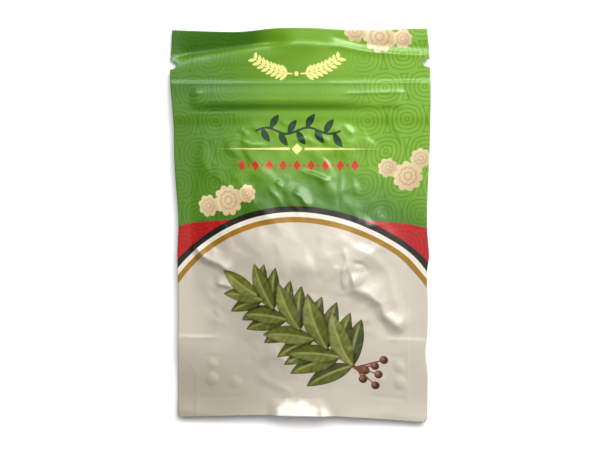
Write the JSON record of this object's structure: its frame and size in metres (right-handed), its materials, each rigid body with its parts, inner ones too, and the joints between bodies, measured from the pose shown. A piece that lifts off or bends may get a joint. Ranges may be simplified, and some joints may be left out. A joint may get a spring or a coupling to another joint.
{
  "type": "resealable spice pouch",
  "caption": "Filled, heat-sealed stand-up pouch of printed film with a press-to-close zip, tear notches and a foot gusset, holding dried bay leaves and lying on its back.",
  "frame": {"origin": "on the surface that the pouch lies on, under the middle of its outline", "axes": "+Z out of the printed front, +Y to the pouch's top edge, +X to the right as seen from the front"},
  "size_m": [0.112, 0.1676, 0.0142],
  "materials": {
    "front_print": "printed film, satin gloss",
    "back_film": "off-white metal-lined film, satin gloss",
    "gusset_film": "off-white metal-lined film, satin gloss",
    "zip_plastic": "milky moulded plastic",
    "dried_leaf": "dry leaf, leathery and matt"
  },
  "bodies": {
    "root": {"front_panel": "front_print", "back_panel": "back_film", "bottom_gusset": "gusset_film", "zip_groove": "zip_plastic", "zip_rib": "zip_plastic", "bay_leaf_01": "dried_leaf", "bay_leaf_02": "dried_leaf", "bay_leaf_03": "dried_leaf", "bay_leaf_04": "dried_leaf", "bay_leaf_05": "dried_leaf", "bay_leaf_06": "dried_leaf", "bay_leaf_07": "dried_leaf", "bay_leaf_08": "dried_leaf", "bay_leaf_09": "dried_leaf", "bay_leaf_10": "dried_leaf", "bay_leaf_11": "dried_leaf", "bay_leaf_12": "dried_leaf"}
  },
  "joints": []
}
